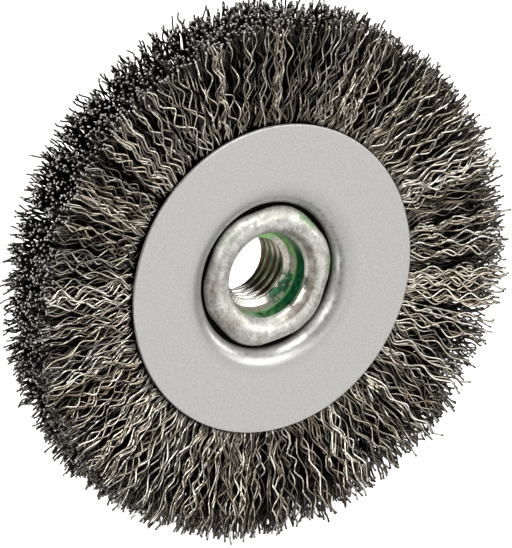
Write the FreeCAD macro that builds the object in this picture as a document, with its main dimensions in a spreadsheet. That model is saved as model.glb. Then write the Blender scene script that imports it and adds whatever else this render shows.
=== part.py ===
import FreeCAD, Part
import Sketcher
import math
import os

# Crimped-wire wheel brush with a threaded hub nut. The spin axis is Y, the front face looks
# towards -Y and the origin is on the axis, midway between the two flange discs.
# Every sketch shows radius along X and position along the spin axis along Y, unless it says otherwise.

DIMENSIONS = {
    # the whole wheel
    "wheel_radius": 50.0,
    "face_spacing": 13.0,  # outer face to outer face of the flange discs
    # pressed flange discs
    "disc_radius": 30.0,
    "disc_thickness": 0.6,
    "disc_edge_round": 0.2,
    "roll_radius": 3.5,  # the face rolls over into the pocket's wall in a quarter turn
    "heel_round": 0.5,
    "pocket_wall_radius": 14.1,  # the pocket holds the nut's collar
    "pocket_depth": 4.1,
    "disc_hole_radius": 10.3,
    # hub nut: swaged collar in front, round neck, hexagon behind
    "neck_radius": 10.2,
    "collar_foot_radius": 12.1,
    "collar_radius": 13.7,
    "collar_girth_depth": 2.2,  # widest plane of the collar, below the disc's face
    "collar_crown_radius": 10.9,
    "collar_crown_depth": 0.3,
    "collar_outer_round": 2.6,
    "collar_inner_round": 2.9,
    "collar_flat_radius": 13.0,  # half the width across the collar's rounded flats
    "collar_corner_round": 8.5,
    "collar_turn": 10.0,
    "hexagon_flat_radius": 12.0,  # half the width across the flats, for a 24 mm wrench
    "hexagon_corner_radius": 13.6,
    "hexagon_chamfer": 0.9,
    "wrench_corner_round": 0.1,
    "nut_end_height": 2.5,  # how far the nut stands behind the rear disc's face
    # bore, from the front mouth to the threaded end, depths below the front disc's face
    "mouth_radius": 8.25,
    "mouth_depth": 2.3,
    "counterbore_radius": 7.95,
    "counterbore_depth": 4.9,
    "step_radius": 7.35,
    "step_depth": 6.2,
    "throat_depth": 6.5,
    # spindle thread M14 x 2, its crests at the wide end of the 6H tolerance
    "thread_major_radius": 7.0,
    "thread_minor_radius": 6.1,
    "thread_basic_minor_radius": 5.9175,
    "thread_pitch": 2.0,
    "thread_start_depth": 7.95,
    "thread_lead_in": 0.9,
    # rings inside the wheel
    "spacer_radius": 14.5,
    "core_ring_radius": 20.0,
    "core_wire_radius": 1.3,
    # wire bundles
    "bundle_count": 20.0,
    "bundle_gap_angle": 0.1,
    "bundle_clearance": 0.1,
    "brim_radius": 48.0,
    "brim_half_width": 8.1,
    "tip_half_width": 7.4,
}

# proportions of an ISO metric internal thread, as shares of its pitch
GROOVE_MOUTH = 3 / 4  # width of the groove at the basic minor radius
GROOVE_ROOT = 1 / 8  # width of its flat at the major radius
GROOVE_OVERCUT = 0.05  # how far the cut starts inside that radius
FLANK_ANGLE = math.pi / 6

SHEET = "Dimensions"
AXIAL = FreeCAD.Vector(0, 1, 0)
NODES = []  # the finished sub-parts, in the order they are made


class Size:
    """A length or angle as both its present value and the sheet expression that gives it."""

    def __init__(self, value, text):
        self.value = value
        self.text = text

    def __add__(self, other):
        return Size(self.value + other.value, f"({self.text} + {other.text})")

    def __sub__(self, other):
        return Size(self.value - other.value, f"({self.text} - {other.text})")

    def __mul__(self, factor):
        return Size(self.value * factor, f"({self.text} * {factor:.9f})")

    def __neg__(self):
        return self * -1


def size(alias):
    return Size(DIMENSIONS[alias], f"<<{SHEET}>>.{alias}")


def make_sheet(document):
    sheet = document.addObject("Spreadsheet::Sheet", SHEET)
    for row, (alias, value) in enumerate(DIMENSIONS.items(), start=1):
        sheet.set(f"A{row}", alias.replace("_", " "))
        sheet.set(f"B{row}", str(value))
        sheet.setAlias(f"B{row}", alias)
    document.recompute()


def origin_plane(body, role):
    return next(plane for plane in body.Origin.OriginFeatures if plane.Role == role)


def new_body(document, label):
    body = document.addObject("PartDesign::Body", label)
    body.Label = label
    NODES.append(body)
    return body


def new_sketch(body, name, role):
    sketch = body.newObject("Sketcher::SketchObject", name)
    sketch.AttachmentSupport = (origin_plane(body, role), [""])
    sketch.MapMode = "FlatFace"
    return sketch


def vector(point):
    return FreeCAD.Vector(point[0].value, point[1].value, 0)


def bind(sketch, constraint, length):
    index = sketch.addConstraint(constraint)
    sketch.setExpression(f"Constraints[{index}]", length.text)


def pin_point(sketch, geometry, end, point):
    """Hold one end of a sketch element at a place given by the sheet."""
    for kind, length in zip(("DistanceX", "DistanceY"), point):
        bind(sketch, Sketcher.Constraint(kind, -1, 1, geometry, end, length.value), length)


def arc_element(start, end, radius, clockwise):
    """The shorter arc between two points, bulging to the left of the way from start to end if clockwise."""
    chord = end - start
    half = chord.Length / 2
    sideways = FreeCAD.Vector(-chord.y, chord.x, 0).normalize()
    rise = math.sqrt(max(radius**2 - half**2, 0))
    side = -1 if clockwise else 1
    centre = (start + end) / 2 + sideways * rise * side
    circle = Part.Circle(centre, FreeCAD.Vector(0, 0, 1), radius)
    if clockwise:
        start, end = end, start
    return Part.ArcOfCircle(circle, circle.parameter(start), circle.parameter(end))


def draw_outline(sketch, steps):
    """Draw a closed outline of (x, y) corners; a step (x, y, radius, clockwise) is reached by an arc."""
    first = len(sketch.Geometry)
    starts, ends = [], []
    for index, step in enumerate(steps):
        begin, finish = vector(steps[index - 1]), vector(step)
        if len(step) == 2:
            geometry = sketch.addGeometry(Part.LineSegment(begin, finish))
            starts.append((geometry, 1))
            ends.append((geometry, 2))
            continue
        geometry = sketch.addGeometry(arc_element(begin, finish, step[2].value, step[3]))
        starts.append((geometry, 2 if step[3] else 1))
        ends.append((geometry, 1 if step[3] else 2))
    for index, step in enumerate(steps):
        following = starts[(index + 1) % len(steps)]
        sketch.addConstraint(Sketcher.Constraint("Coincident", *ends[index], *following))
        pin_point(sketch, *ends[index], step)
        if len(step) > 2:
            radius = step[2]
            bind(sketch, Sketcher.Constraint("Radius", first + index, radius.value), radius)


def draw_circle(sketch, radius, offset=None):
    """A circle centred on the sketch's origin, or on its X axis at an offset."""
    centre = FreeCAD.Vector(offset.value if offset else 0, 0, 0)
    geometry = sketch.addGeometry(Part.Circle(centre, FreeCAD.Vector(0, 0, 1), radius.value))
    bind(sketch, Sketcher.Constraint("Radius", geometry, radius.value), radius)
    if offset:
        sketch.addConstraint(Sketcher.Constraint("PointOnObject", geometry, 3, -1))
        bind(sketch, Sketcher.Constraint("DistanceX", -1, 1, geometry, 3, offset.value), offset)
    else:
        sketch.addConstraint(Sketcher.Constraint("Coincident", geometry, 3, -1, 1))


def revolve(body, sketch, name):
    revolution = body.newObject("PartDesign::Revolution", name)
    revolution.Profile = sketch
    revolution.ReferenceAxis = (sketch, ["V_Axis"])
    revolution.Angle = 360
    return revolution


def circular_edges(shape, corners):
    """Names of the full circles about the spin axis that pass through the given (radius, axial) corners."""
    names = []
    for index, edge in enumerate(shape.Edges, start=1):
        if not isinstance(edge.Curve, Part.Circle):
            continue
        spot = (edge.Curve.Radius, edge.Curve.Center.y)
        if any(math.dist(spot, (x.value, y.value)) < 1e-4 for x, y in corners):
            names.append(f"Edge{index}")
    return names


def round_corners(document, body, name, corners, radius):
    document.recompute()
    base = body.Tip
    fillet = body.newObject("PartDesign::Fillet", name)
    fillet.Base = (base, circular_edges(base.Shape, corners))
    fillet.Radius = radius.value
    fillet.setExpression("Radius", radius.text)


def disc_outline(facing):
    """Corners of a pressed disc's section, outer face first. facing is -1 in front and 1 behind."""
    face = size("face_spacing") * 0.5
    thickness = size("disc_thickness")
    wall = size("pocket_wall_radius")
    roll = size("roll_radius")
    floor = face - size("pocket_depth")
    rolls_in = facing < 0
    outline = [
        (size("disc_radius"), face),
        (wall + roll, face),
        (wall, face - roll, roll, rolls_in),
        (wall, floor),
        (size("disc_hole_radius"), floor),
        (size("disc_hole_radius"), floor - thickness),
        (wall + thickness, floor - thickness),
        (wall + thickness, face - roll),
        (wall + roll, face - thickness, roll - thickness, not rolls_in),
        (size("disc_radius"), face - thickness),
    ]
    return [(step[0], step[1] * facing, *step[2:]) for step in outline]


def make_flange_disc(document, label, facing):
    body = new_body(document, label)
    outline = disc_outline(facing)
    sketch = new_sketch(body, f"{label}_section", "XY_Plane")
    draw_outline(sketch, outline)
    revolve(body, sketch, f"{label}_pressing")
    rim, heel = outline[0], outline[6]
    round_corners(document, body, f"{label}_rim", [rim], size("disc_edge_round"))
    round_corners(document, body, f"{label}_heel", [heel], size("heel_round"))


def hub_nut_outline():
    front = -size("face_spacing") * 0.5
    seat = front + size("pocket_depth")
    rear_face = size("face_spacing") * 0.5
    shoulder = rear_face - size("pocket_depth")
    end = rear_face + size("nut_end_height")
    girth = front + size("collar_girth_depth")
    crown = front + size("collar_crown_depth")
    chamfer = size("hexagon_chamfer")
    lead_in = size("thread_lead_in")
    minor = size("thread_minor_radius")
    return [
        (size("neck_radius"), seat),
        (size("collar_foot_radius"), seat),
        (size("collar_radius"), girth, size("collar_outer_round"), False),
        (size("collar_crown_radius"), crown, size("collar_outer_round"), False),
        (size("mouth_radius"), front + size("mouth_depth"), size("collar_inner_round"), False),
        (size("counterbore_radius"), front + size("counterbore_depth")),
        (size("step_radius"), front + size("step_depth")),
        (minor, front + size("throat_depth")),
        (minor, end - lead_in),
        (minor + lead_in, end),
        (size("hexagon_corner_radius") - chamfer * 2, end),
        (size("hexagon_corner_radius"), end - chamfer),
        (size("hexagon_corner_radius"), shoulder),
        (size("neck_radius"), shoulder),
    ]


def hexagon_outline(flat_radius, corner_round, turn):
    """A hexagon with its corners rounded, in a sketch's own plane; turn is in degrees."""
    steps = []
    reach = (flat_radius - corner_round) * (1 / math.cos(math.pi / 6))
    for corner in range(6):
        heading = math.radians(turn + 60 * corner)
        for side in (-math.pi / 6, math.pi / 6):
            x = reach * math.cos(heading) + corner_round * math.cos(heading + side)
            y = reach * math.sin(heading) + corner_round * math.sin(heading + side)
            steps.append((x, y) if side < 0 else (x, y, corner_round, False))
    return steps


def cut_outside_hexagon(body, name, start, towards_front, outline):
    """Trim everything outside the outline, from a plane across the axis out to one end of the body."""
    sketch = new_sketch(body, f"{name}_section", "XZ_Plane")
    sketch.setExpression("AttachmentOffset.Base.z", (-start).text)
    draw_circle(sketch, size("wheel_radius"))
    draw_outline(sketch, outline)
    pocket = body.newObject("PartDesign::Pocket", name)
    pocket.Profile = sketch
    pocket.Type = "ThroughAll"
    pocket.Reversed = towards_front


def cut_thread(body):
    """Sweep one 60 degree groove along a right-hand helix, out through the rear end."""
    front = -size("face_spacing") * 0.5
    pitch = size("thread_pitch")
    middle = front + size("thread_start_depth")
    inside = size("thread_basic_minor_radius") - pitch * GROOVE_OVERCUT
    mouth_half = pitch * (GROOVE_MOUTH / 2 + GROOVE_OVERCUT * math.tan(FLANK_ANGLE))
    root_half = pitch * (GROOVE_ROOT / 2)
    sketch = new_sketch(body, "thread_groove_section", "XY_Plane")
    groove = [
        (inside, middle - mouth_half),
        (size("thread_major_radius"), middle - root_half),
        (size("thread_major_radius"), middle + root_half),
        (inside, middle + mouth_half),
    ]
    draw_outline(sketch, groove)
    length = size("face_spacing") + size("nut_end_height") - size("thread_start_depth") + pitch
    helix = body.newObject("PartDesign::SubtractiveHelix", "spindle_thread")
    helix.Profile = sketch
    helix.ReferenceAxis = (sketch, ["V_Axis"])
    helix.Mode = 0
    helix.Pitch = pitch.value
    helix.Height = length.value
    helix.Angle = 0
    helix.Growth = 0
    helix.LeftHanded = False
    helix.Reversed = False
    helix.setExpression("Pitch", pitch.text)
    helix.setExpression("Height", length.text)


def make_hub_nut(document):
    body = new_body(document, "hub_nut")
    sketch = new_sketch(body, "nut_section", "XY_Plane")
    draw_outline(sketch, hub_nut_outline())
    revolve(body, sketch, "nut_blank")
    document.recompute()
    blank = body.Shape.Volume
    front_seat = size("pocket_depth") - size("face_spacing") * 0.5
    collar = hexagon_outline(
        size("collar_flat_radius"), size("collar_corner_round"), DIMENSIONS["collar_turn"]
    )
    cut_outside_hexagon(body, "collar_flats", front_seat, True, collar)
    document.recompute()
    trimmed = body.Shape.Volume
    wrench = hexagon_outline(
        size("hexagon_flat_radius"), size("wrench_corner_round"), DIMENSIONS["collar_turn"]
    )
    cut_outside_hexagon(body, "wrench_flats", -front_seat, False, wrench)
    document.recompute()
    flats = body.Shape.Volume
    cut_thread(body)
    document.recompute()
    if not blank > trimmed > flats > body.Shape.Volume:
        raise RuntimeError("a cut of the hub nut removed nothing")


def make_spacer_ring(document):
    body = new_body(document, "spacer_ring")
    half_width = size("face_spacing") * 0.5 - size("pocket_depth") - size("disc_thickness")
    bore = size("disc_hole_radius")
    rim = size("spacer_radius")
    sketch = new_sketch(body, "spacer_section", "XY_Plane")
    draw_outline(
        sketch, [(bore, -half_width), (rim, -half_width), (rim, half_width), (bore, half_width)]
    )
    revolve(body, sketch, "spacer_turning")


def make_core_ring(document):
    torus = document.addObject("Part::Torus", "core_ring")
    torus.Label = "core_ring"
    torus.Placement = FreeCAD.Placement(
        FreeCAD.Vector(), FreeCAD.Rotation(FreeCAD.Vector(0, 0, 1), AXIAL)
    )
    torus.setExpression("Radius1", size("core_ring_radius").text)
    torus.setExpression("Radius2", size("core_wire_radius").text)
    NODES.append(torus)


def bundle_outline():
    """Section of the wire fill: gripped between the discs, then flaring out to the brim."""
    clearance = size("bundle_clearance")
    face = size("face_spacing") * 0.5
    roll = size("roll_radius")
    wall = size("pocket_wall_radius")
    hollow = roll - size("disc_thickness") - clearance
    root = wall + roll - hollow
    throat = face - size("disc_thickness") - clearance
    half = [
        (wall + roll, throat),
        (size("disc_radius") + clearance * 2, throat),
        (size("brim_radius"), size("brim_half_width")),
        (size("wheel_radius"), size("tip_half_width")),
    ]
    gripped = [(root, roll - face, hollow, True), (root, face - roll)]
    front = [(x, -y) for x, y in reversed(half)]
    return [(*half[0], hollow, True), *half[1:], *front, *gripped]


def make_wire_bundle(document, number):
    label = f"wire_bundle_{number:02d}"
    body = new_body(document, label)
    sketch = new_sketch(body, f"{label}_section", "XY_Plane")
    draw_outline(sketch, bundle_outline())
    tunnel_radius = size("core_wire_radius") + size("bundle_clearance")
    draw_circle(sketch, tunnel_radius, size("core_ring_radius"))
    revolution = revolve(body, sketch, f"{label}_fill")
    count = f"<<{SHEET}>>.bundle_count"
    gap = f"<<{SHEET}>>.bundle_gap_angle"
    revolution.setExpression("Angle", f"360 / {count} - {gap}")
    turn = 360 / DIMENSIONS["bundle_count"] * (number - 1)
    body.Placement = FreeCAD.Placement(FreeCAD.Vector(), FreeCAD.Rotation(AXIAL, turn))


def check_and_export(document):
    document.recompute()
    for thing in document.Objects:
        if "Invalid" in thing.State or "Error" in thing.State:
            raise RuntimeError(f"{thing.Label} did not recompute: {thing.State}")
    os.makedirs("parts", exist_ok=True)
    for node in NODES:
        if node.Shape.isNull() or not node.Shape.isValid():
            raise RuntimeError(f"{node.Label} has no valid shape")
        node.Shape.exportStep(os.path.join("parts", f"{node.Label}.step"))


def main():
    document = FreeCAD.newDocument("wire_wheel_brush")
    make_sheet(document)
    make_flange_disc(document, "front_flange_disc", -1)
    make_flange_disc(document, "rear_flange_disc", 1)
    make_hub_nut(document)
    make_spacer_ring(document)
    make_core_ring(document)
    for number in range(1, int(DIMENSIONS["bundle_count"]) + 1):
        make_wire_bundle(document, number)
    check_and_export(document)


main()
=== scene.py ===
import math
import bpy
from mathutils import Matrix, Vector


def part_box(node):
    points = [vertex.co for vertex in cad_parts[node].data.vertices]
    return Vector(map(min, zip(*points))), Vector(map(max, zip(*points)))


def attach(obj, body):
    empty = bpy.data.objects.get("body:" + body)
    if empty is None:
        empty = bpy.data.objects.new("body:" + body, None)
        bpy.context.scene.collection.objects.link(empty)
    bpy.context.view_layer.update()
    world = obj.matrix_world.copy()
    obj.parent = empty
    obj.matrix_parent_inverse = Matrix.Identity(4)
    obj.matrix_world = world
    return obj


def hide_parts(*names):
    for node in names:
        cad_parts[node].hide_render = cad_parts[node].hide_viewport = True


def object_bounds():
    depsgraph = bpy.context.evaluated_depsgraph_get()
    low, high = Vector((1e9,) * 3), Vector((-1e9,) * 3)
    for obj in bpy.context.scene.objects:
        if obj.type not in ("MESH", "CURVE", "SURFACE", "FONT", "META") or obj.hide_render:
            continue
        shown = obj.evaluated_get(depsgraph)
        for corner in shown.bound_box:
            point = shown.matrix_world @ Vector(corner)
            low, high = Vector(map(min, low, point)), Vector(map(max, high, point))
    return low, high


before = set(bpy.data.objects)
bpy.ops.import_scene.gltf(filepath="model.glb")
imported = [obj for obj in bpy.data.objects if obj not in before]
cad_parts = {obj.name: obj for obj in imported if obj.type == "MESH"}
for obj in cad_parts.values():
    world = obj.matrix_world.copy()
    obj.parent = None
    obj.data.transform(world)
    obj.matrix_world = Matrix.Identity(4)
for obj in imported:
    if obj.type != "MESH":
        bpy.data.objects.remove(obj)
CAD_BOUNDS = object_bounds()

from types import SimpleNamespace

import bpy
import numpy as np
from mathutils import Vector, noise

# Crimped wire wheel brush. The spin axis is Y and the front face looks towards -Y. Angles round the
# axis run from +X towards +Z. Lengths are in metres.
MM = 0.001
RNG = np.random.default_rng(20)

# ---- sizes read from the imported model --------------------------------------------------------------
BUNDLES = sorted(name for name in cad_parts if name.startswith("wire_bundle_"))
DISC_LOW, DISC_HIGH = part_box("front_flange_disc")
NUT_LOW, NUT_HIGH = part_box("hub_nut")
RING_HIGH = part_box("core_ring")[1]
SPACER_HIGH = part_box("spacer_ring")[1]
DISC_RADIUS = DISC_HIGH.x
FACE = -DISC_LOW.y  # distance of each disc's outer face from the wheel's middle
RING_WIRE = RING_HIGH.y
RING_RADIUS = RING_HIGH.x - RING_WIRE
WHEEL_RADIUS = max(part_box(name)[1].x for name in BUNDLES)
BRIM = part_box(BUNDLES[0])[1].y  # half the width of the wire fill at its widest
CROWN_PLANE = NUT_LOW.y
NUT_END = NUT_HIGH.y
POCKET_WALL = 14.1 * MM  # radius of the pocket that the discs form round the nut
ROLL_RIM = 17.6 * MM  # where the disc's flat face starts to roll in


def smooth_step(low, high, value):
    """0 below low, 1 above high and a smooth rise between them."""
    share = np.clip((value - low) / (high - low), 0, 1)
    return share * share * (3 - 2 * share)


# ---- materials -------------------------------------------------------------------------------------
class Nodes:
    """Short calls for building one material's node tree."""

    def __init__(self, name):
        self.material = bpy.data.materials.new(name)
        self.material.use_nodes = True
        self.tree = self.material.node_tree
        self.shader = self.tree.nodes["Principled BSDF"]

    def add(self, kind, inputs=(), **settings):
        node = self.tree.nodes.new(kind)
        for key, value in settings.items():
            setattr(node, key, value)
        for key, value in dict(inputs).items():
            self.feed(node.inputs[key], value)
        return node

    def feed(self, socket, value):
        if isinstance(value, bpy.types.NodeSocket):
            self.tree.links.new(value, socket)
        else:
            socket.default_value = value

    def set(self, **values):
        for key, value in values.items():
            self.feed(self.shader.inputs[key.replace("_", " ")], value)

    def math(self, operation, *values):
        node = self.add("ShaderNodeMath", operation=operation)
        for socket, value in zip(node.inputs, values):
            self.feed(socket, value)
        return node.outputs[0]

    def place(self):
        return self.add("ShaderNodeTexCoord").outputs["Object"]

    def attribute(self, name):
        return self.add("ShaderNodeAttribute", attribute_name=name).outputs["Fac"]

    def noise(self, scale, detail=2.0, vector=None, **settings):
        node = self.add("ShaderNodeTexNoise", {"Scale": scale, "Detail": detail}, **settings)
        self.feed(node.inputs["Vector"], vector or self.place())
        return node.outputs["Fac"]

    def ramp(self, factor, *stops):
        """A colour ramp of (position, colour) stops."""
        node = self.add("ShaderNodeValToRGB", {"Fac": factor})
        elements = node.color_ramp.elements
        while len(elements) < len(stops):
            elements.new(0.5)
        for element, (position, colour) in zip(elements, stops):
            element.position = position
            element.color = (*colour, 1)
        return node.outputs["Color"]

    def fit(self, value, low, high, to_low, to_high):
        inputs = {"Value": value, "From Min": low, "From Max": high, "To Min": to_low, "To Max": to_high}
        return self.add("ShaderNodeMapRange", inputs).outputs["Result"]

    def mix(self, factor, first, second):
        """A blend of two colours; the sockets' numbers are those of the node's colour mode."""
        node = self.add("ShaderNodeMix", data_type="RGBA")
        for socket, value in ((0, factor), (6, first), (7, second)):
            self.feed(node.inputs[socket], value)
        return node.outputs[2]

    def bump(self, height, strength, distance):
        inputs = {"Height": height, "Strength": strength, "Distance": distance}
        return self.add("ShaderNodeBump", inputs).outputs["Normal"]

    def radius(self):
        """Distance from the spin axis."""
        parts = self.add("ShaderNodeSeparateXYZ", {"Vector": self.place()}).outputs
        across = self.math("MULTIPLY", parts["X"], parts["X"])
        up = self.math("MULTIPLY", parts["Z"], parts["Z"])
        return self.math("SQRT", self.math("ADD", across, up))

    def spokes(self, around, along):
        """Coordinates that change fast round the axis and slowly along a radius."""
        parts = self.add("ShaderNodeSeparateXYZ", {"Vector": self.place()}).outputs
        radius = self.radius()
        across = self.math("MULTIPLY", self.math("DIVIDE", parts["X"], radius), around)
        up = self.math("MULTIPLY", self.math("DIVIDE", parts["Z"], radius), around)
        depth = self.math("MULTIPLY", parts["Y"], along)
        return self.add("ShaderNodeCombineXYZ", {"X": across, "Y": depth, "Z": up}).outputs["Vector"]


def colour(red, green, blue):
    return (red, green, blue, 1)


def painted_steel():
    """Grey paint with painted shade darkening it towards the roll, speckled on the roll, and painted near
    black in the pocket as painted shade.
    """
    nodes = Nodes("painted_steel")
    darker, lighter = (0.565, 0.558, 0.538), (0.685, 0.678, 0.658)
    paint = nodes.ramp(nodes.noise(2600, 3), (0.35, darker), (0.65, lighter))
    radius = nodes.radius()
    # painted shade: the paint is mixed up to 22% towards dark grey from 1.6 mm outside the roll's rim to
    # 0.6 mm inside it
    roll_painted_shade = nodes.fit(radius, ROLL_RIM + 1.6 * MM, ROLL_RIM - 0.6 * MM, 0, 0.22)
    paint = nodes.mix(roll_painted_shade, paint, colour(0.26, 0.255, 0.24))
    grain = nodes.noise(2200, 2)
    speckle = nodes.fit(nodes.noise(1300, 4), 0.50, 0.66, 0, 0.6)
    rolled = nodes.fit(radius, ROLL_RIM - 1.0 * MM, ROLL_RIM - 2.0 * MM, 0, 1)
    worn = nodes.mix(nodes.math("MULTIPLY", speckle, rolled), paint, colour(0.24, 0.225, 0.20))
    # painted shade: inside this radius the pocket's wall and floor are painted near black, matt and with
    # little specular, for the shadow round the collar
    pocket_painted_shade = nodes.fit(radius, POCKET_WALL + 0.45 * MM, POCKET_WALL + 0.1 * MM, 0, 1)
    gloss = nodes.fit(grain, 0.3, 0.7, 0.30, 0.38)
    dull = nodes.fit(pocket_painted_shade, 0, 1, 0, 0.8)
    nodes.set(
        # the near-black colour is the pocket's painted shade
        Base_Color=nodes.mix(pocket_painted_shade, worn, colour(0.008, 0.008, 0.007)),
        Metallic=nodes.fit(pocket_painted_shade, 0, 1, 0.62, 0),
        Roughness=nodes.math("MAXIMUM", gloss, dull),
        Specular_IOR_Level=nodes.fit(pocket_painted_shade, 0, 1, 0.5, 0.08),
        Normal=nodes.bump(grain, 0.12, 0.00005),
    )
    return nodes.material


def zinc_plated_steel():
    """Worn zinc, stained and lacquered where the nut's attributes say, darkened there by real grime and
    painted shade and lightened by painted highlights.
    """
    nodes = Nodes("zinc_plated_steel")
    dull, plain, bright = (0.62, 0.61, 0.57), (0.78, 0.77, 0.73), (0.88, 0.87, 0.83)
    zinc = nodes.ramp(nodes.noise(420, 4), (0.25, dull), (0.5, plain), (0.8, bright))
    streaks = nodes.noise(1.0, 6, nodes.spokes(120, 900))
    streaks = nodes.math("MULTIPLY", streaks, nodes.fit(nodes.noise(700, 3), 0.35, 0.6, 0.75, 1.15))
    zinc = nodes.mix(nodes.fit(streaks, 0.42, 0.62, 0, 0.55), zinc, colour(0.33, 0.30, 0.25))
    specks = nodes.fit(nodes.noise(2400, 4), 0.52, 0.68, 0, 0.55)
    zinc = nodes.mix(specks, zinc, colour(0.40, 0.33, 0.25))
    zinc = nodes.mix(nodes.attribute("tan"), zinc, colour(0.60, 0.47, 0.36))
    # dark brown from real smudges and flecks on the collar and from painted shade in the mouth's groove
    # and in the thread's grooves on one side
    zinc_with_grime_and_painted_shade = nodes.mix(nodes.attribute("grime_and_painted_shade"), zinc, colour(0.17, 0.13, 0.09))
    deep, middle, thin = (0.0, 0.045, 0.02), (0.004, 0.16, 0.06), (0.03, 0.30, 0.10)
    green = nodes.ramp(nodes.noise(900, 3), (0.35, deep), (0.6, middle), (0.75, thin))
    # pale green: painted highlights on the lacquer in the bore and on the thread's crests, and a paler
    # tone of the collar's lacquer spots
    green = nodes.mix(nodes.attribute("pale_lacquer_and_painted_highlight"), green, colour(0.34, 0.78, 0.22))
    lacquer = nodes.attribute("lacquer")
    polished = nodes.attribute("polish")
    bare_metal = nodes.fit(polished, 0.3, 0.8, 0.55, 0.97)
    height = nodes.math("ADD", nodes.noise(3200, 3), streaks)
    nodes.set(
        Base_Color=nodes.mix(lacquer, zinc_with_grime_and_painted_shade, green),
        Metallic=nodes.math("MULTIPLY", bare_metal, nodes.fit(lacquer, 0, 1, 1, 0.5)),
        Roughness=nodes.fit(polished, 0, 1, 0.46, 0.12),
        Normal=nodes.bump(height, 0.3, 0.00005),
    )
    return nodes.material


def brush_wire():
    """Steel wire, each with its own tint, fading to near black where little light reaches it."""
    nodes = Nodes("brush_wire")
    burnt, straw, bright = (0.15, 0.115, 0.08), (0.62, 0.55, 0.44), (1.0, 0.95, 0.85)
    steel = nodes.ramp(nodes.attribute("tint"), (0.0, burnt), (0.45, straw), (0.85, bright))
    scale = nodes.noise(1500, 3)
    oxide = nodes.mix(nodes.fit(scale, 0.50, 0.78, 0, 0.6), steel, colour(0.20, 0.14, 0.09))
    nodes.set(
        Base_Color=nodes.mix(nodes.attribute("light"), colour(0.008, 0.007, 0.006), oxide),
        Metallic=1.0,
        Roughness=nodes.fit(scale, 0.3, 0.7, 0.11, 0.21),
    )
    return nodes.material


def cut_end():
    """The pale sheared face at each wire's tip."""
    nodes = Nodes("cut_wire_end")
    shear = nodes.noise(9000, 2)
    darker, lighter = (0.52, 0.51, 0.49), (0.88, 0.87, 0.84)
    nodes.set(
        Base_Color=nodes.ramp(shear, (0.3, darker), (0.7, lighter)),
        Metallic=0.25,
        Roughness=nodes.fit(shear, 0.3, 0.7, 0.35, 0.5),
    )
    return nodes.material


def bare_steel():
    """The rings inside the brush."""
    nodes = Nodes("bare_steel")
    scratch = nodes.noise(1800, 3)
    darker, lighter = (0.38, 0.37, 0.35), (0.52, 0.51, 0.49)
    nodes.set(
        Base_Color=nodes.ramp(scratch, (0.3, darker), (0.7, lighter)),
        Metallic=1.0,
        Roughness=nodes.fit(scratch, 0.3, 0.7, 0.3, 0.5),
        Normal=nodes.bump(scratch, 0.2, 0.00003),
    )
    return nodes.material


# ---- meshes ----------------------------------------------------------------------------------------
def make_mesh(name, points, faces, materials, attributes=(), face_materials=None):
    """A smooth-shaded object from arrays: points (n, 3) and a list of face arrays (m, corners)."""
    mesh = bpy.data.meshes.new(name)
    corners = np.concatenate([face.ravel() for face in faces])
    counts = np.concatenate([np.full(len(face), face.shape[1]) for face in faces])
    starts = np.concatenate([[0], np.cumsum(counts)[:-1]])
    mesh.vertices.add(len(points))
    mesh.vertices.foreach_set("co", points.astype(np.float32).ravel())
    mesh.loops.add(len(corners))
    mesh.loops.foreach_set("vertex_index", corners.astype(np.int32))
    mesh.polygons.add(len(counts))
    mesh.polygons.foreach_set("loop_start", starts.astype(np.int32))
    mesh.polygons.foreach_set("loop_total", counts.astype(np.int32))
    mesh.polygons.foreach_set("use_smooth", counts == 4)
    for material in materials:
        mesh.materials.append(material)
    if face_materials is not None:
        mesh.polygons.foreach_set("material_index", face_materials.astype(np.int32))
    for key, values in dict(attributes).items():
        layer = mesh.attributes.new(key, "FLOAT", "POINT")
        layer.data.foreach_set("value", values.astype(np.float32))
    mesh.update(calc_edges=True)
    mesh.validate()
    piece = bpy.data.objects.new(name, mesh)
    bpy.context.scene.collection.objects.link(piece)
    return piece


def wave(phase):
    """One crimp wave: a sine, drawn very slightly towards a zigzag."""
    return np.sin(phase) - 0.02 * np.sin(3 * phase)


def polar(radius, angle, axial):
    return np.stack([radius * np.cos(angle), axial + 0 * radius, radius * np.sin(angle)], axis=-1)


# ---- the hub nut -----------------------------------------------------------------------------------
# (distance from the axis, position along it) of the corners of the nut's section
MOUTH = (8.25 * MM, -4.2 * MM)
COUNTERBORE = (7.95 * MM, -1.6 * MM)
STEP = (7.35 * MM, -0.3 * MM)
CROWN = (10.9 * MM, CROWN_PLANE)
GIRTH = (13.7 * MM, -4.3 * MM)
FOOT = (12.1 * MM, -2.4 * MM)
NECK_RADIUS = 10.2 * MM
SHOULDER_PLANE = 2.4 * MM
INNER_ROUND = 2.9 * MM
OUTER_ROUND = 2.6 * MM
COLLAR_FLAT, COLLAR_CORNER_ROUND = 13.0 * MM, 8.5 * MM
WRENCH_FLAT, WRENCH_CORNER = 12.0 * MM, 13.6 * MM
WRENCH_CORNER_ROUND = 0.1 * MM
HEXAGON_TURN = math.radians(10)
CHAMFER = 0.9 * MM
THREAD_CREST, THREAD_ROOT = 6.1 * MM, 7.0 * MM
THREAD_PITCH = 2.0 * MM
THREAD_PHASE = 0.225  # puts the first groove where the turned model has it
CREST_HALF = 0.13 * MM
COLLAR_TRIM = 0.7  # the swaged collar shows its flats less than the design does
NUT_COLUMNS = 400
THREAD_ROWS_PER_PITCH = 25
COLUMN_ANGLES = np.linspace(0, 2 * math.pi, NUT_COLUMNS, endpoint=False)[None, :]
LUMP_SIZES = (3.4 * MM, 1.3 * MM, 0.55 * MM)  # of the coarse, medium and fine noise on the nut
DENT_DEPTHS = (0.085 * MM, 0.05 * MM, 0.02 * MM)
CLOUD_SHIFT = 7.3  # moves the noise to a stretch that suits the nut
GROOVE_DEPTH = 0.13 * MM
BORE_POLISH = 0.85


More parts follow.
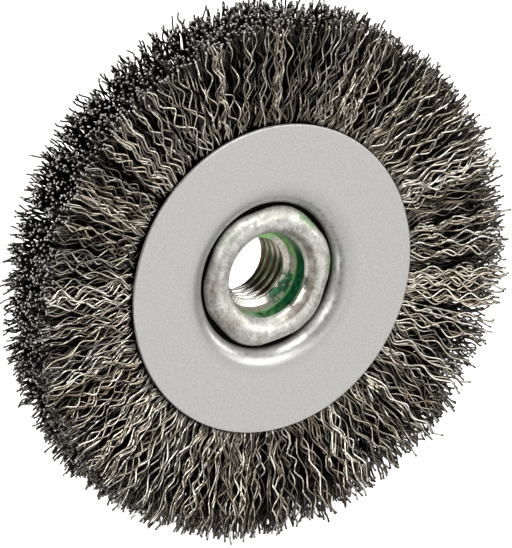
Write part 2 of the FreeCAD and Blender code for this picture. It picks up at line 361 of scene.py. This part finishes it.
def stretch(start, end, steps):
    """Rows from start up to but not including end, closer together near both."""
    share = (1 - np.cos(np.linspace(0, math.pi, steps, endpoint=False))) / 2
    return [(start[0] + (end[0] - start[0]) * t, start[1] + (end[1] - start[1]) * t) for t in share]


def arc(start, end, radius, steps):
    """Rows from start up to but not including end along an arc that bulges away from the nut."""
    start, end = np.array(start), np.array(end)
    chord = end - start
    half = np.linalg.norm(chord) / 2
    inward = np.array([-chord[1], chord[0]]) / (2 * half)
    centre = (start + end) / 2 + inward * math.sqrt(radius**2 - half**2)
    first, last = (math.atan2(*(point - centre)[::-1]) for point in (start, end))
    if last < first:
        last += 2 * math.pi
    return [
        (centre[0] + radius * math.cos(swing), centre[1] + radius * math.sin(swing))
        for swing in np.linspace(first, last, steps, endpoint=False)
    ]


def rounded_hexagon(flat, corner_round, angle):
    """Distance from the axis to the outline of a hexagon with rounded corners."""
    swing = np.abs((angle - HEXAGON_TURN + math.pi / 6) % (math.pi / 3) - math.pi / 6)
    half_flat = (flat - corner_round) * math.tan(math.pi / 6)
    reach = (flat - corner_round) / math.cos(math.pi / 6)
    corner_part = math.pi / 6 - math.atan(half_flat / flat)
    near = np.minimum(swing, corner_part)
    on_corner = reach * np.cos(near) + np.sqrt(corner_round**2 - (reach * np.sin(near)) ** 2)
    on_flat = flat / np.cos(math.pi / 6 - swing)
    return np.where(swing < corner_part, on_corner, on_flat)


def thread_radius(axial):
    """Bore radius along the 60 degree thread, fading out at its front and widening in the rear lead-in."""
    turns = axial / THREAD_PITCH + COLUMN_ANGLES / (2 * math.pi) - THREAD_PHASE
    from_crest = np.abs(turns - np.round(turns)) * THREAD_PITCH
    flank = (THREAD_ROOT - THREAD_CREST) * math.tan(math.pi / 6)
    climb = np.clip((from_crest - CREST_HALF) / flank, 0, 1)
    climb = climb - np.sin(2 * math.pi * climb) / (4 * math.pi)
    depth = (THREAD_ROOT - THREAD_CREST) * climb * smooth_step(0, 0.5 * MM, axial)
    lead_in = THREAD_CREST + axial - (NUT_END - CHAMFER)
    return np.maximum(THREAD_CREST + depth, lead_in)


def nut_section():
    """Radius and position of every row round the closed section, and the row range of each named part."""
    rows, parts = [], {}

    def add(name, radius, axial):
        radius = radius + 0 * COLUMN_ANGLES
        parts[name] = slice(len(rows), len(rows) + len(radius))
        rows.extend(zip(radius, axial + 0 * radius))

    def add_turned(name, points):
        points = np.array(points)
        add(name, points[:, :1], points[:, 1:])

    thread_rows = round(NUT_END / THREAD_PITCH * THREAD_ROWS_PER_PITCH)
    axial = np.linspace(NUT_END, 0, thread_rows, endpoint=False)[:, None]
    add("thread", thread_radius(axial), axial)
    add_turned("throat", stretch((THREAD_CREST, 0), STEP, 6))
    add_turned("step", stretch(STEP, COUNTERBORE, 7))
    add_turned("counterbore", stretch(COUNTERBORE, MOUTH, 9))
    add_turned("collar", arc(MOUTH, CROWN, INNER_ROUND, 20) + arc(CROWN, GIRTH, OUTER_ROUND, 18))
    add_turned("underside", arc(GIRTH, FOOT, OUTER_ROUND, 7))
    foot_end = (NECK_RADIUS, FOOT[1])
    shoulder = (NECK_RADIUS, SHOULDER_PLANE)
    add_turned("neck", stretch(FOOT, foot_end, 4) + stretch(foot_end, shoulder, 5))
    wrench = rounded_hexagon(WRENCH_FLAT, WRENCH_CORNER_ROUND, COLUMN_ANGLES)
    share = np.linspace(0, 1, 4, endpoint=False)[:, None]
    add("shoulder", NECK_RADIUS + (wrench - NECK_RADIUS) * share, SHOULDER_PLANE)
    axial = np.concatenate([
        SHOULDER_PLANE + np.array([0, 0.06, 0.5, 2.5, 4.6]) * MM,
        np.linspace(NUT_END - 1.2 * CHAMFER, NUT_END, 10, endpoint=False),
    ])[:, None]
    cone = WRENCH_CORNER - 2 * (axial - NUT_END + CHAMFER)
    add("hexagon", np.minimum(wrench, cone), axial)
    cone_end = (WRENCH_CORNER - 2 * CHAMFER, NUT_END)
    add_turned("rear", stretch(cone_end, (THREAD_CREST + CHAMFER, NUT_END), 6))
    radius, axial = (np.array(values) for values in zip(*rows))
    return radius, axial, parts


def cloud(points, grain, shift):
    """Smooth noise between about -1 and 1 at every point, with lumps of the given size."""
    flat = points.reshape(-1, 3) / grain + shift
    return np.array([noise.noise(Vector(point)) for point in flat]).reshape(points.shape[:-1])


def window(angle, centre, half_width, soft):
    """1 within half_width degrees of centre, falling to 0 over soft degrees more."""
    away = np.abs((np.degrees(angle) - centre + 180) % 360 - 180)
    return 1 - smooth_step(half_width, half_width + soft, away)


def groove_side(angle):
    """1 on the side of the mouth where the groove and its painted shade are strongest."""
    return window(angle, -8, 45, 40)


def press_collar(radius, axial, angle, parts, lumps):
    """Press the flats, the groove inside the mouth and the dents into the turned section."""
    rim = parts["collar"]
    collar, inner = np.zeros(radius.shape), np.zeros(radius.shape)
    collar[rim] = collar[parts["underside"]] = 1
    inner[rim] = smooth_step(MOUTH[0] + 0.1 * MM, MOUTH[0] + 0.5 * MM, radius[rim])
    outline = rounded_hexagon(COLLAR_FLAT, COLLAR_CORNER_ROUND, angle) / GIRTH[0]
    outside = smooth_step(CROWN[0] - 1 * MM, GIRTH[0] - 1 * MM, radius)
    trim = 1 - COLLAR_TRIM * (1 - outline) * outside * collar
    mouth_side = 1 - smooth_step(MOUTH[0] + 0.75 * MM, MOUTH[0] + 1.25 * MM, radius)
    groove = inner * mouth_side * groove_side(angle)
    away = smooth_step(MOUTH[0], MOUTH[0] + 1.2 * MM, radius)
    dents = sum(depth * lump for depth, lump in zip(DENT_DEPTHS, lumps))
    push = collar * away * dents - GROOVE_DEPTH * groove
    run_out = np.gradient(radius, axis=0)
    run_along = np.gradient(axial, axis=0)
    length = np.hypot(run_out, run_along)
    return radius * trim + push * run_along / length, axial - push * run_out / length, trim


def worn_polish(coarse):
    return 0.25 * smooth_step(-0.2, 0.5, coarse)


def paint_thread(at):
    """Green crests with a painted highlight, grooves on one side darkened near black as painted shade and
    a tan cast on most of the rest.
    """
    crest = 1 - smooth_step(THREAD_CREST + 0.02 * MM, THREAD_CREST + 0.15 * MM, at.radius)
    return {
        "lacquer": 0.85 * crest * (1 - window(at.angle, -100, 35, 25)),
        # painted highlight along the crests
        "pale_lacquer_and_painted_highlight": 0.35 * crest,
        # painted shade: the grooves on this side are darkened
        "grime_and_painted_shade": (1 - crest) * window(at.angle, -34, 26, 24),
        "tan": 0.75 * (1 - window(at.angle, -80, 60, 30)),
        "polish": BORE_POLISH,
    }


def paint_throat(at):
    """Shiny metal with a glaze of lacquer above, made pale there as a painted highlight, and a drip of it
    below.
    """
    glaze = window(at.angle, 100, 34, 25)
    drip = window(at.angle, -42, 18, 18) * smooth_step(0.2, 0.5, 0.45 + at.medium + 0.4 * at.fine)
    lacquer = np.maximum(0.8 * glaze, 0.95 * drip)
    # the glaze also carries a painted highlight
    return {"lacquer": lacquer, "pale_lacquer_and_painted_highlight": 0.9 * glaze, "tan": 0.25, "polish": BORE_POLISH}


def paint_step(at):
    """The step under the counterbore: a glaze, a drip and a line of lacquer along its front edge, the
    glaze and the line made pale as a painted highlight.
    """
    glaze = window(at.angle, 68, 42, 26) * (0.65 + 0.5 * smooth_step(-0.3, 0.4, at.medium))
    drip = window(at.angle, -36, 20, 18) * smooth_step(0.25, 0.5, 0.5 + at.medium + 0.4 * at.fine)
    line = 1 - smooth_step(COUNTERBORE[1], COUNTERBORE[1] + 0.2 * MM, at.axial)
    lacquer = np.maximum(np.maximum(0.85 * glaze, 0.95 * drip), 0.8 * line)
    # painted highlight on the glaze and the front-edge line
    return {"lacquer": np.clip(lacquer, 0, 1), "pale_lacquer_and_painted_highlight": np.maximum(glaze, line), "tan": 0.3, "polish": 0.5}


def paint_counterbore(at):
    """Lacquer all round, with an uneven front edge, a painted highlight line at the back and painted
    highlight patches at the bottom.
    """
    edge = MOUTH[1] + (0.15 * at.coarse - 0.3) * MM
    # painted highlight: a pale line along the back of the counterbore
    back = smooth_step(COUNTERBORE[1] - 0.45 * MM, COUNTERBORE[1] - 0.1 * MM, at.axial)
    back = back * (0.55 + 0.45 * window(at.angle, 80, 60, 40))
    # painted highlight: pale patches on the lacquer at the bottom
    lit = window(at.angle, -105, 30, 30) * smooth_step(-0.1, 0.35, at.medium + 0.4 * at.fine)
    return {
        "lacquer": smooth_step(edge, edge + 0.25 * MM, at.axial),
        "pale_lacquer_and_painted_highlight": np.maximum(back, 0.25 * lit),
        "polish": BORE_POLISH,
    }


def paint_collar(at):
    """Smudges, flecks and three spots of lacquer on the zinc, painted shade in the groove and a polished
    lip.
    """
    outer = smooth_step(GIRTH[0] - 1.9 * MM, GIRTH[0] - 1.0 * MM, at.radius / at.trim)
    spots = np.maximum(window(at.angle, 50, 8, 7), window(at.angle, 2, 7, 8))
    spots = np.maximum(spots, 0.62 * window(at.angle, 128, 12, 8))
    spots = smooth_step(0.45, 0.75, spots * (0.75 + 0.6 * at.fine))
    smudge = window(at.angle, 205, 22, 25) * smooth_step(CROWN[0], GIRTH[0] - 1 * MM, at.radius)
    smudge = (smudge + window(at.angle, 168, 8, 10) * outer) * (0.5 + 0.5 * at.medium)
    # painted shade in the groove inside the mouth, strongest on the groove's side
    groove_painted_shade = smooth_step(MOUTH[0] + 0.3 * MM, MOUTH[0] + 0.7 * MM, at.radius)
    groove_painted_shade = groove_painted_shade * (1 - smooth_step(MOUTH[0] + 1.3 * MM, MOUTH[0] + 2.0 * MM, at.radius))
    grime_and_painted_shade = 0.62 * smudge + groove_painted_shade * groove_side(at.angle) * (0.6 + 0.4 * at.medium)
    flecks = smooth_step(0.1, 0.5, 0.6 * at.coarse + 0.6 * at.fine)
    lip = 1 - smooth_step(MOUTH[0] + 0.5 * MM, MOUTH[0] + 0.9 * MM, at.radius)
    lip = lip * window(at.angle, -32, 16, 14)
    return {
        "lacquer": 0.75 * outer * spots,
        "pale_lacquer_and_painted_highlight": 0.35,
        "grime_and_painted_shade": np.clip(1.15 * grime_and_painted_shade + 0.38 * flecks, 0, 0.85),
        "polish": np.maximum(worn_polish(at.coarse), 0.9 * lip),
    }


PAINTERS = {
    "thread": paint_thread,
    "throat": paint_throat,
    "step": paint_step,
    "counterbore": paint_counterbore,
    "collar": paint_collar,
}


def paint_nut(surface, parts):
    """The zinc material's attributes, from the painters of the nut's parts."""
    layers = {key: np.zeros(surface["radius"].shape) for key in ("lacquer", "pale_lacquer_and_painted_highlight", "grime_and_painted_shade", "tan")}
    layers["polish"] = worn_polish(surface["coarse"])
    for name, paint in PAINTERS.items():
        rows = parts[name]
        at = SimpleNamespace(**{key: values[rows] for key, values in surface.items()})
        for key, values in paint(at).items():
            layers[key][rows] = values
    return {key: values.ravel() for key, values in layers.items()}


def build_nut(material):
    radius, axial, parts = nut_section()
    angle = COLUMN_ANGLES + 0 * radius
    points = polar(radius, angle, axial)
    lumps = [cloud(points, size, CLOUD_SHIFT) for size in LUMP_SIZES]
    radius, axial, trim = press_collar(radius, axial, angle, parts, lumps)
    surface = {"radius": radius, "axial": axial, "angle": angle, "trim": trim}
    surface.update(zip(("coarse", "medium", "fine"), lumps))

    index = np.arange(radius.size).reshape(radius.shape)
    below = np.roll(index, -1, 0)
    faces = np.stack([index, below, np.roll(below, -1, 1), np.roll(index, -1, 1)], axis=-1)
    points = polar(radius, angle, axial).reshape(-1, 3)
    layers = paint_nut(surface, parts)
    piece = make_mesh("hub_nut_turned", points, [faces.reshape(-1, 4)], [material], layers)
    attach(piece, "root")
    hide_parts("hub_nut")


# ---- the wire fill ---------------------------------------------------------------------------------
WIRE_RADIUS = 0.18 * MM
WIRE_SIDES = 5
BURR = 1.25  # how much wider a wire is at its cut end
CLUMPS_PER_BUNDLE = 108
CLUMP_SIZES = (1, 2, 3, 4, 5)
CLUMP_SHARES = (0.66, 0.22, 0.08, 0.03, 0.01)
NEST_GAP = 0.55 * MM  # between neighbours in a clump, at the disc's rim
WAVE_LENGTH = 6.1 * MM
WAVE_HEIGHT = 0.64 * MM
FLAT_SHARE = 0.72  # clumps whose waves lie across the wheel's face
HIDDEN_STEPS = 4
SHOWN_STEPS = 36
BEND_STEPS = 5
SHOWN_FROM = DISC_RADIUS - 1.0 * MM
SHEET = 0.6 * MM  # thickness of the pressed discs
THROAT = FACE - SHEET - 2 * WIRE_RADIUS  # widest the wires can lie between the discs
STACK = RING_RADIUS - RING_WIRE - SPACER_HIGH.x - 1.0 * MM  # room for the wires inside the core ring
STRAY_SHARE = 0.06
CROWDING = 0.8  # below 1, more of the wires lie near the faces of the fill
GOLDEN = 0.618  # spreads neighbouring clumps evenly through the depth of the fill
BROAD_FLOW, FINE_FLOW = 0.16, 0.06
BROAD_WAVES = np.arange(4, 17)  # waves of lean in one turn of the wheel
FINE_WAVES = np.arange(45, 97, 4)
FLOW_WAVES = np.concatenate([BROAD_WAVES, FINE_WAVES])[:, None]
FLOW_SIZES = np.where(FLOW_WAVES <= BROAD_WAVES[-1], BROAD_FLOW, FINE_FLOW)
FLOW = RNG.normal(0, 1, (2, 2, len(FLOW_WAVES), 1)) * FLOW_SIZES
FLOW_LEAN = 0.08
# Pairs are spreads between clumps and between the wires of one clump.
ANGLE_SPREAD = 0.05 * MM
LAYER_SPREAD = (0.05, 0.02)
TURN_SPREAD = (0.35, 0.1)
PHASE_SPREAD = 0.4
LENGTH_SPREAD = (0.10, 0.02)
HEIGHT_SPREAD = 0.2
SWELL_SPREAD = 0.3
LEAN_SPREAD = (0.055, 0.04)
SWAY_SPREAD = 0.5 * MM
LIFT_SPREAD = (0.5 * MM, 0.3 * MM)
TIP_SPREAD = (0.7 * MM, 0.6 * MM)
TIP_SET_BACK = 0.3 * MM
STRAY_LEAN, STRAY_HEIGHT = 4, 1.2  # how many times a stray wire's are those of the others
DRIFT, DRIFT_LENGTH = 0.8, 3.3 * MM  # uneven spacing of one wire's waves
SWELL_MIDDLE, SWELL, SWELL_LENGTH = 0.95, 0.3, 2.6 * MM  # uneven height of one wire's waves
SWAY_LENGTH = 9 * MM
TIP_ZONE = 6 * MM
TIP_STRAIGHTENING = 0.35
BRIM_ROUNDING = 0.6 * MM
CRIMP_BY_DISC = 0.3  # share of a wave's sideways height that fits beside the disc
EXIT_GAP, EXIT_SLOPE = 0.1 * MM, 0.8  # limits of the fill's width just outside the discs
LIT_ABOVE, DARK_BELOW = 0.3 * MM, 1.8 * MM  # the faces of the fill, where the light fades
LIT_POWER = 1.7
OPEN_RIM_LIGHT = 0.2
TIP_SHADE = 0.2


def flow(side, angle):
    """A gentle lean shared by neighbouring wires, for the front (0) or rear (1) legs."""
    turns = FLOW_WAVES * angle[None, :]
    return (FLOW[side, 0] * np.cos(turns) + FLOW[side, 1] * np.sin(turns)).sum(0)


def hairpins(bundle):
    """The random choices for one bundle's wires, each a hairpin with a leg on either side of the ring."""
    clumps = CLUMPS_PER_BUNDLE
    sector = 2 * math.pi / len(BUNDLES)
    sizes = RNG.choice(CLUMP_SIZES, clumps, p=CLUMP_SHARES)
    clump = np.repeat(np.arange(clumps), sizes)
    count = len(clump)
    member = np.arange(count) - (np.cumsum(sizes) - sizes)[clump] - (sizes[clump] - 1) / 2
    angle = sector * (bundle + (clump + RNG.random(clumps)[clump]) / clumps)
    angle = angle + (member * NEST_GAP + RNG.normal(0, ANGLE_SPREAD, count)) / DISC_RADIUS
    layer = ((np.arange(clumps) * GOLDEN + RNG.normal(0, LAYER_SPREAD[0], clumps)) % 1) ** CROWDING
    layer = np.clip(layer[clump] + RNG.normal(0, LAYER_SPREAD[1], count), 0, 1)

    def scatter(spread):
        return RNG.normal(0, spread[0], clumps)[clump] + RNG.normal(0, spread[1], count)

    def any_phase():
        return RNG.uniform(0, 2 * math.pi, clumps)[clump]

    legs = []
    for number, side in enumerate((-1, 1)):
        stray = RNG.random(count) < STRAY_SHARE
        flat = RNG.normal(0, TURN_SPREAD[0], clumps)
        steep = RNG.uniform(-math.pi / 2, math.pi / 2, clumps)
        turn = np.where(RNG.random(clumps) < FLAT_SHARE, flat, steep)[clump]
        lean = FLOW_LEAN * flow(number, angle) + RNG.normal(0, LEAN_SPREAD[0], clumps)[clump]
        end = WHEEL_RADIUS - TIP_SET_BACK + scatter(TIP_SPREAD)
        taller = np.where(stray, STRAY_HEIGHT, 1)
        legs.append({
            "side": side,
            "end": end,
            "turn": turn + RNG.normal(0, TURN_SPREAD[1], count),
            "phase": any_phase() + RNG.normal(0, PHASE_SPREAD, count),
            "length": WAVE_LENGTH * (1 + scatter(LENGTH_SPREAD)),
            "height": WAVE_HEIGHT * RNG.normal(1, HEIGHT_SPREAD, clumps)[clump] * taller,
            "swell": any_phase() + RNG.normal(0, SWELL_SPREAD, count),
            "lean": lean + RNG.normal(0, LEAN_SPREAD[1], count) * np.where(stray, STRAY_LEAN, 1),
            "sway": RNG.normal(0, SWAY_SPREAD, clumps)[clump],
            "sway_phase": any_phase(),
            "lift": scatter(LIFT_SPREAD),
        })
    return angle, layer, legs


def half_width(radius):
    """How far the wire fill reaches from the wheel's middle plane, at a distance from the axis."""
    opening = np.clip((radius - DISC_RADIUS) / (WHEEL_RADIUS - DISC_RADIUS), 0, 1)
    corner = smooth_step(WHEEL_RADIUS - TIP_ZONE, WHEEL_RADIUS + 1 * MM, radius)
    return THROAT + (BRIM - THROAT) * opening - BRIM_ROUNDING * corner


def depth_in_stack(layer):
    """How far from the core ring's middle each hairpin passes round it."""
    return RING_WIRE + WIRE_RADIUS + layer * (STACK - 2 * WIRE_RADIUS)


def leg_path(angle, layer, leg):
    """Points of one leg of each hairpin, from the core ring out to its tip, as (wires, steps, 3)."""
    leg = {key: np.reshape(values, (-1, 1)) for key, values in leg.items()}
    angle, layer = angle[:, None], layer[:, None]
    share = np.concatenate([
        np.linspace(0, 1, HIDDEN_STEPS, endpoint=False),
        np.linspace(1, 2, SHOWN_STEPS),
    ])[None, :]
    inner = RING_RADIUS + (SHOWN_FROM - RING_RADIUS) * np.minimum(share, 1)
    radius = inner + (leg["end"] - SHOWN_FROM) * np.maximum(share - 1, 0)
    gathered = depth_in_stack(layer) * leg["side"]
    spread = half_width(radius) * layer * leg["side"]
    axial = gathered + (spread - gathered) * smooth_step(RING_RADIUS, DISC_RADIUS - 4 * MM, radius)

    drift = DRIFT * np.sin(radius / DRIFT_LENGTH + 2 * leg["swell"])
    crimp = wave(2 * math.pi * radius / leg["length"] + leg["phase"] + drift)
    swell = SWELL_MIDDLE + SWELL * np.sin(radius / SWELL_LENGTH + leg["swell"])
    free = smooth_step(RING_RADIUS + 2 * MM, DISC_RADIUS - 1 * MM, radius)
    straighter = 1 - TIP_STRAIGHTENING * smooth_step(WHEEL_RADIUS - TIP_ZONE, WHEEL_RADIUS, radius)
    crimp = crimp * leg["height"] * swell * straighter * free

    out = np.maximum(radius - DISC_RADIUS, 0)
    loose = smooth_step(DISC_RADIUS, WHEEL_RADIUS, radius)
    sway = leg["sway"] * np.sin(out / SWAY_LENGTH + leg["sway_phase"])
    sideways = crimp * np.cos(leg["turn"]) + out * leg["lean"] + sway * loose
    beyond = smooth_step(DISC_RADIUS, DISC_RADIUS + 3 * MM, radius)
    room = CRIMP_BY_DISC + (1 - CRIMP_BY_DISC) * beyond
    axial = axial + crimp * np.sin(leg["turn"]) * room + leg["lift"] * loose
    limit = THROAT + EXIT_GAP + EXIT_SLOPE * out
    axial = np.clip(axial, -limit, limit)
    return polar(radius, angle + sideways / radius, axial), wire_light(radius, axial)


def wire_light(radius, axial):
    """How much light reaches a wire, from 0 inside the fill and by the discs to 1 on the fill's faces.

    Tips get a little less of it on the faces, and more of it inside, where the rim is open.
    """
    buried = smooth_step(-LIT_ABOVE, DARK_BELOW, half_width(radius) - np.abs(axial))
    shaded_tip = 1 - TIP_SHADE * smooth_step(WHEEL_RADIUS - 7 * MM, WHEEL_RADIUS, radius)
    open_end = smooth_step(WHEEL_RADIUS - 7 * MM, WHEEL_RADIUS - 1.5 * MM, radius)
    by_disc = smooth_step(DISC_RADIUS - 0.2 * MM, DISC_RADIUS + 0.9 * MM, radius)
    lit = (1 - buried) ** LIT_POWER * shaded_tip
    return np.maximum(lit, OPEN_RIM_LIGHT * open_end) * by_disc


def bend_path(angle, layer):
    """The turn of each hairpin round the core ring, from the front leg to the rear leg."""
    stack = depth_in_stack(layer)[:, None]
    swing = np.linspace(-math.pi / 2, math.pi / 2, BEND_STEPS + 2)[None, 1:-1]
    radius = RING_RADIUS - stack * np.cos(swing)
    return polar(radius, angle[:, None] + 0 * swing, stack * np.sin(swing)), 0 * radius


def tube_rings(path):
    """Rings of points round each wire of (wires, steps, 3), square to its run."""
    run = np.gradient(path, axis=1)
    run /= np.linalg.norm(run, axis=2, keepdims=True)
    round_axis = np.stack([-path[..., 2], 0 * path[..., 0], path[..., 0]], axis=-1)
    side = round_axis - (round_axis * run).sum(2, keepdims=True) * run
    side /= np.linalg.norm(side, axis=2, keepdims=True)
    up = np.cross(run, side)
    corner = np.linspace(0, 2 * math.pi, WIRE_SIDES, endpoint=False)[None, None, :, None]
    spoke = side[:, :, None] * np.cos(corner) + up[:, :, None] * np.sin(corner)
    thickness = np.full(path.shape[1], WIRE_RADIUS)
    thickness[[0, -1]] *= BURR
    return path[:, :, None] + thickness[None, :, None, None] * spoke


def tube_faces(wires, steps):
    """Quads along each tube and one flat face on each of its two cut ends."""
    index = np.arange(wires * steps * WIRE_SIDES).reshape(wires, steps, WIRE_SIDES)
    near, far = index[:, :-1], index[:, 1:]
    quads = np.stack([near, np.roll(near, -1, 2), np.roll(far, -1, 2), far], axis=-1)
    caps = np.concatenate([index[:, 0, ::-1], index[:, -1]])
    return quads.reshape(-1, 4), caps


def build_bundle(number, name, materials):
    """One bundle's wires, each a tube that runs from its front tip round the core ring to its rear tip."""
    angle, layer, (front, rear) = hairpins(number)
    front_path, front_light = leg_path(angle, layer, front)
    bend, bend_light = bend_path(angle, layer)
    rear_path, rear_light = leg_path(angle, layer, rear)
    path = np.concatenate([front_path[:, ::-1], bend, rear_path], axis=1)
    light = np.concatenate([front_light[:, ::-1], bend_light, rear_light], axis=1)
    wires, steps = path.shape[:2]
    quads, caps = tube_faces(wires, steps)
    layers = {
        "tint": np.repeat(RNG.beta(1.4, 1.4, wires), steps * WIRE_SIDES),
        "light": np.repeat(light.ravel(), WIRE_SIDES),
    }
    which = np.concatenate([np.zeros(len(quads)), np.ones(len(caps))])
    points = tube_rings(path).reshape(-1, 3)
    piece = make_mesh(f"{name}_wires", points, [quads, caps], materials, layers, which)
    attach(piece, "root")
    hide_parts(name)


# ---- camera and light ------------------------------------------------------------------------------
CAMERA_AZIMUTH, CAMERA_ELEVATION = -30.95, 19.8
CAMERA_DISTANCE = 4.0
FRAME_HEIGHT = 102.0 * MM  # what the picture spans at the brush
AIM_RIGHT, AIM_UP = -3.15 * MM, 0.93 * MM  # where the picture's middle lies from the front disc's centre
SENSOR_HEIGHT = 24  # millimetres, as Blender counts sensors
CLIP_END = 20.0
PANEL_DISTANCE = 2.0
PANELS = (  # name, azimuth, elevation, size, radiance
    ("right", 34, 18, 1.3, 3.3),
    ("left", -50, 30, 0.8, 5.2),
    ("left_ends", -112, 0, 1.0, 5.0),
    ("left_low", -75, -20, 0.7, 5.0),
    ("right_side", 80, 10, 0.8, 4.5),
    ("overhead", 5, 66, 1.0, 6.6),
    ("table", 6, -37, 2.8, 0.74),
    ("rear", 150, 24, 1.0, 2.2),
    ("rear_table", 145, -34, 1.3, 0.8),
)
AMBIENT = 0.08
STAGE_RADIUS = 6.0
STAGE_COLUMNS, STAGE_RINGS = 64, 32
FLOOR_GAP = 1 * MM


def direction(azimuth, elevation):
    """Unit vector from the brush; azimuth runs from -Y towards +X. Both angles are in degrees."""
    azimuth, elevation = math.radians(azimuth), math.radians(elevation)
    return Vector((
        math.sin(azimuth) * math.cos(elevation),
        -math.cos(azimuth) * math.cos(elevation),
        math.sin(elevation),
    ))


def add_camera():
    back = direction(CAMERA_AZIMUTH, CAMERA_ELEVATION)
    right = direction(CAMERA_AZIMUTH + 90, 0)
    up = back.cross(right)
    target = Vector((0, -FACE, 0)) + right * AIM_RIGHT + up * AIM_UP
    data = bpy.data.cameras.new("camera")
    data.sensor_fit = "VERTICAL"
    data.sensor_height = SENSOR_HEIGHT
    data.lens = data.sensor_height * CAMERA_DISTANCE / FRAME_HEIGHT
    data.clip_end = CLIP_END
    camera = bpy.data.objects.new("camera", data)
    camera.location = target + back * CAMERA_DISTANCE
    camera.rotation_euler = back.to_track_quat("Z", "Y").to_euler()
    bpy.context.scene.collection.objects.link(camera)
    bpy.context.scene.camera = camera


def add_panel(name, azimuth, elevation, size, radiance):
    """A square softbox facing the brush."""
    away = direction(azimuth, elevation)
    data = bpy.data.lights.new(name, "AREA")
    data.shape = "SQUARE"
    data.size = size
    data.energy = radiance * math.pi * size**2
    lamp = bpy.data.objects.new(name, data)
    lamp.location = away * PANEL_DISTANCE
    lamp.rotation_euler = away.to_track_quat("Z", "Y").to_euler()
    bpy.context.scene.collection.objects.link(lamp)


def add_stage():
    """A pale floor under the brush and a pale dome round it, which only the camera sees."""
    nodes = Nodes("pale_stage")
    nodes.set(Base_Color=colour(0.9, 0.9, 0.9), Roughness=0.9)
    nodes.set(Emission_Color=colour(1, 1, 1), Emission_Strength=1.0)
    bpy.ops.mesh.primitive_uv_sphere_add(
        segments=STAGE_COLUMNS, ring_count=STAGE_RINGS, radius=STAGE_RADIUS
    )
    dome = bpy.context.object
    dome.name = "dome"
    floor_place = (0, 0, CAD_BOUNDS[0][2] - FLOOR_GAP)
    bpy.ops.mesh.primitive_circle_add(
        vertices=STAGE_COLUMNS, radius=STAGE_RADIUS, fill_type="NGON", location=floor_place
    )
    floor = bpy.context.object
    floor.name = "floor"
    for thing in (dome, floor):
        thing.data.materials.append(nodes.material)
        thing.visible_diffuse = False
        thing.visible_glossy = False
        thing.visible_shadow = False


def add_world():
    world = bpy.data.worlds.new("studio")
    world.use_nodes = True
    background = world.node_tree.nodes["Background"]
    background.inputs["Color"].default_value = (1, 1, 1, 1)
    background.inputs["Strength"].default_value = AMBIENT
    bpy.context.scene.world = world


painted, zinc = painted_steel(), zinc_plated_steel()
wire, end, steel = brush_wire(), cut_end(), bare_steel()
for node, material in (
    ("front_flange_disc", painted),
    ("rear_flange_disc", painted),
    ("spacer_ring", steel),
    ("core_ring", steel),
):
    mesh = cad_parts[node].data
    mesh.materials.clear()
    mesh.materials.append(material)
for number, name in enumerate(BUNDLES):
    build_bundle(number, name, [wire, end])
build_nut(zinc)
add_camera()
for panel in PANELS:
    add_panel(*panel)
add_stage()
add_world()
bpy.context.scene.view_settings.view_transform = "Standard"
